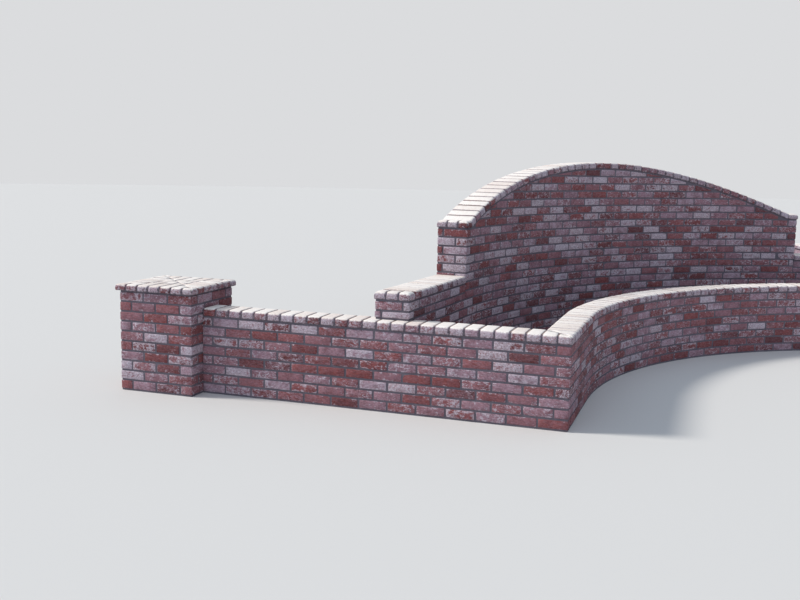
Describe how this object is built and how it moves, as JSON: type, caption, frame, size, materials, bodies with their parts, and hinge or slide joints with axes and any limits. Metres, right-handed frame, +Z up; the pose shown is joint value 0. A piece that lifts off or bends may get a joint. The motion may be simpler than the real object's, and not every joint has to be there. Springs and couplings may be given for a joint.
{
  "type": "brick garden wall",
  "caption": "Low brick garden wall with piers and a concave bay, backed by a taller curved wall with a segmental arched top and a planting bed between them.",
  "frame": {"origin": "on the ground, under the middle of the tall wall's thickness, at the crown of its arch", "axes": "+X to the right along the wall as seen from the front, +Y to the back, -Y the way the bay opens, +Z up; the two halves mirror each other about the YZ plane"},
  "size_m": [9.7228, 3.0317, 1.8003],
  "materials": {
    "brick": "matte",
    "coping_brick": "matte",
    "mortar": "matte"
  },
  "bodies": {
    "root": {"left_pier": "brick", "left_pier_cap": "coping_brick", "left_front_wall": "brick", "left_front_coping": "coping_brick", "left_return_wall": "brick", "left_return_coping": "coping_brick", "left_wing_wall": "brick", "left_wing_coping": "coping_brick", "left_shoulder_coping": "coping_brick", "right_pier": "brick", "right_pier_cap": "coping_brick", "right_front_wall": "brick", "right_front_coping": "coping_brick", "right_return_wall": "brick", "right_return_coping": "coping_brick", "right_wing_wall": "brick", "right_wing_coping": "coping_brick", "right_shoulder_coping": "coping_brick", "bay_wall_1": "brick", "bay_coping_1": "coping_brick", "tall_wall_1": "brick", "arch_coping_1": "coping_brick", "bay_wall_2": "brick", "bay_coping_2": "coping_brick", "tall_wall_2": "brick", "arch_coping_2": "coping_brick", "bay_wall_3": "brick", "bay_coping_3": "coping_brick", "tall_wall_3": "brick", "arch_coping_3": "coping_brick", "bay_wall_4": "brick", "bay_coping_4": "coping_brick", "tall_wall_4": "brick", "arch_coping_4": "coping_brick", "bay_wall_5": "brick", "bay_coping_5": "coping_brick", "tall_wall_5": "brick", "arch_coping_5": "coping_brick"}
  },
  "joints": []
}
